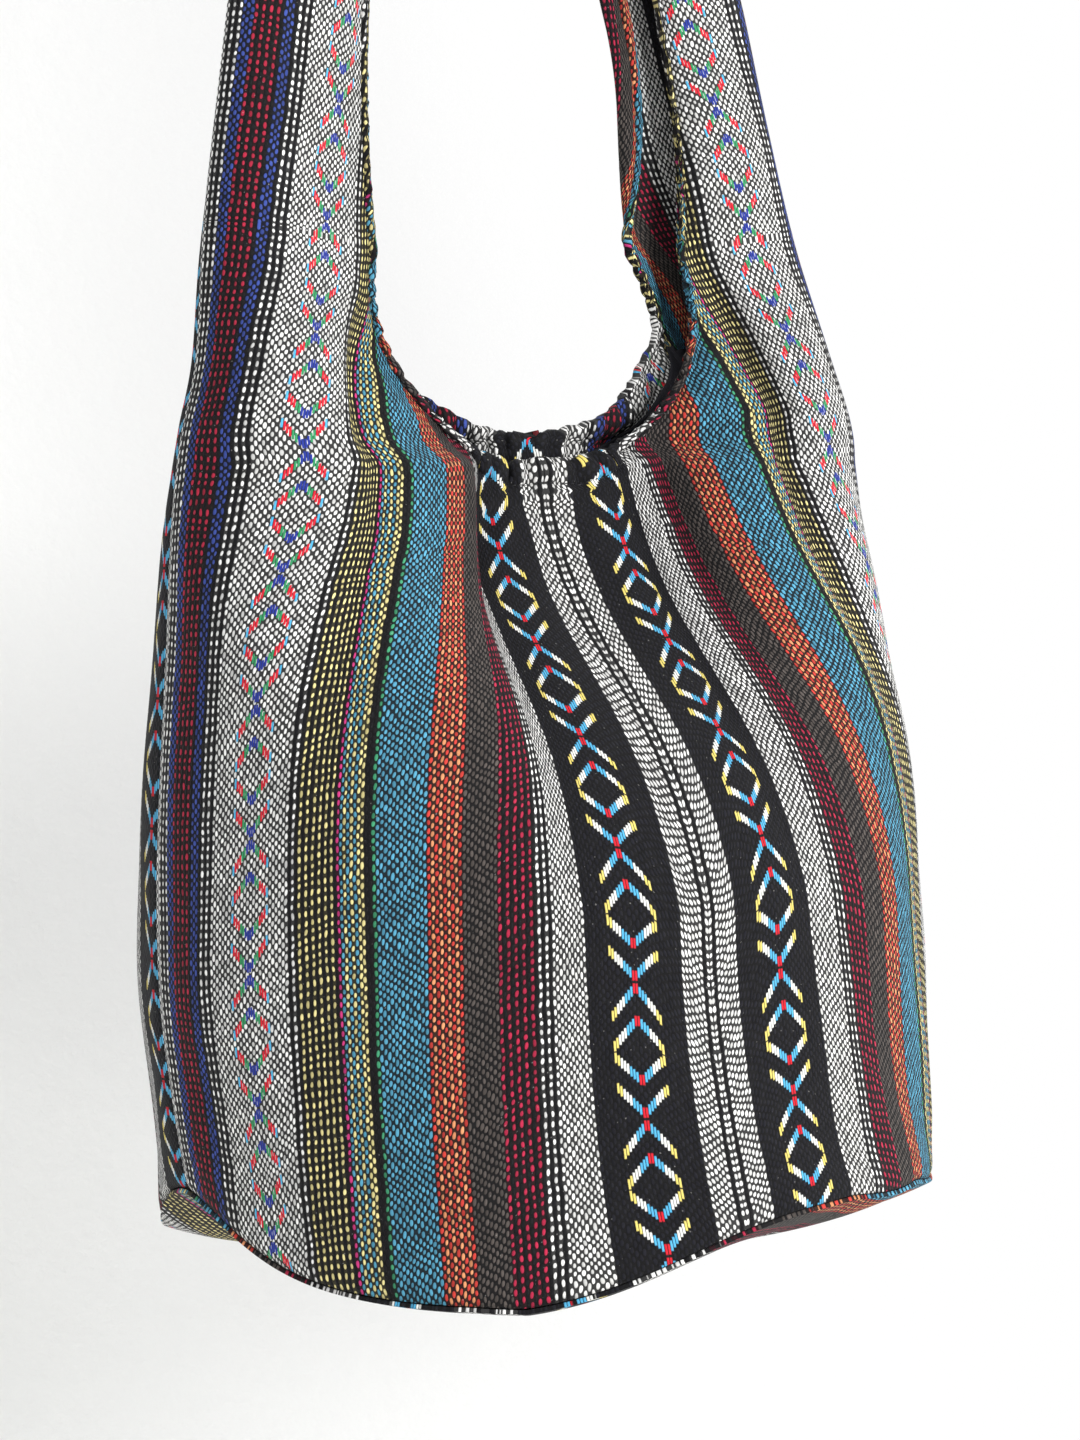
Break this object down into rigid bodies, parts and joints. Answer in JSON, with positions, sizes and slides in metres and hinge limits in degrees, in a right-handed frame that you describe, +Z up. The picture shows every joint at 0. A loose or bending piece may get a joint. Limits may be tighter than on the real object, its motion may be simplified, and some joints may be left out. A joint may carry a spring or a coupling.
{
  "type": "crossbody bag",
  "caption": "Striped woven cotton hobo crossbody bag, its strap cut in one with the sack-shaped body, with an oval base and a snap at the mouth.",
  "frame": {"origin": "crest of the strap loop on the seam line between front and back, where the bag hangs", "axes": "+Z up along the hanging bag, +X across the front to the viewer's right when facing it, -Y out of the front"},
  "size_m": [0.3288, 0.3194, 0.9265],
  "materials": {
    "striped_cotton_front": "striped, coarse woven",
    "striped_cotton_back": "striped, coarse woven",
    "striped_cotton_base": "striped, coarse woven",
    "plain_cotton_lining": "plain, matte",
    "snap_metal": "nickel plated"
  },
  "bodies": {
    "root": {"front_panel": "striped_cotton_front", "back_panel": "striped_cotton_back", "base_panel": "striped_cotton_base", "lining_front": "plain_cotton_lining", "lining_back": "plain_cotton_lining", "lining_base": "plain_cotton_lining", "inner_pocket": "plain_cotton_lining", "snap_socket": "snap_metal", "snap_stud": "snap_metal"}
  },
  "joints": []
}
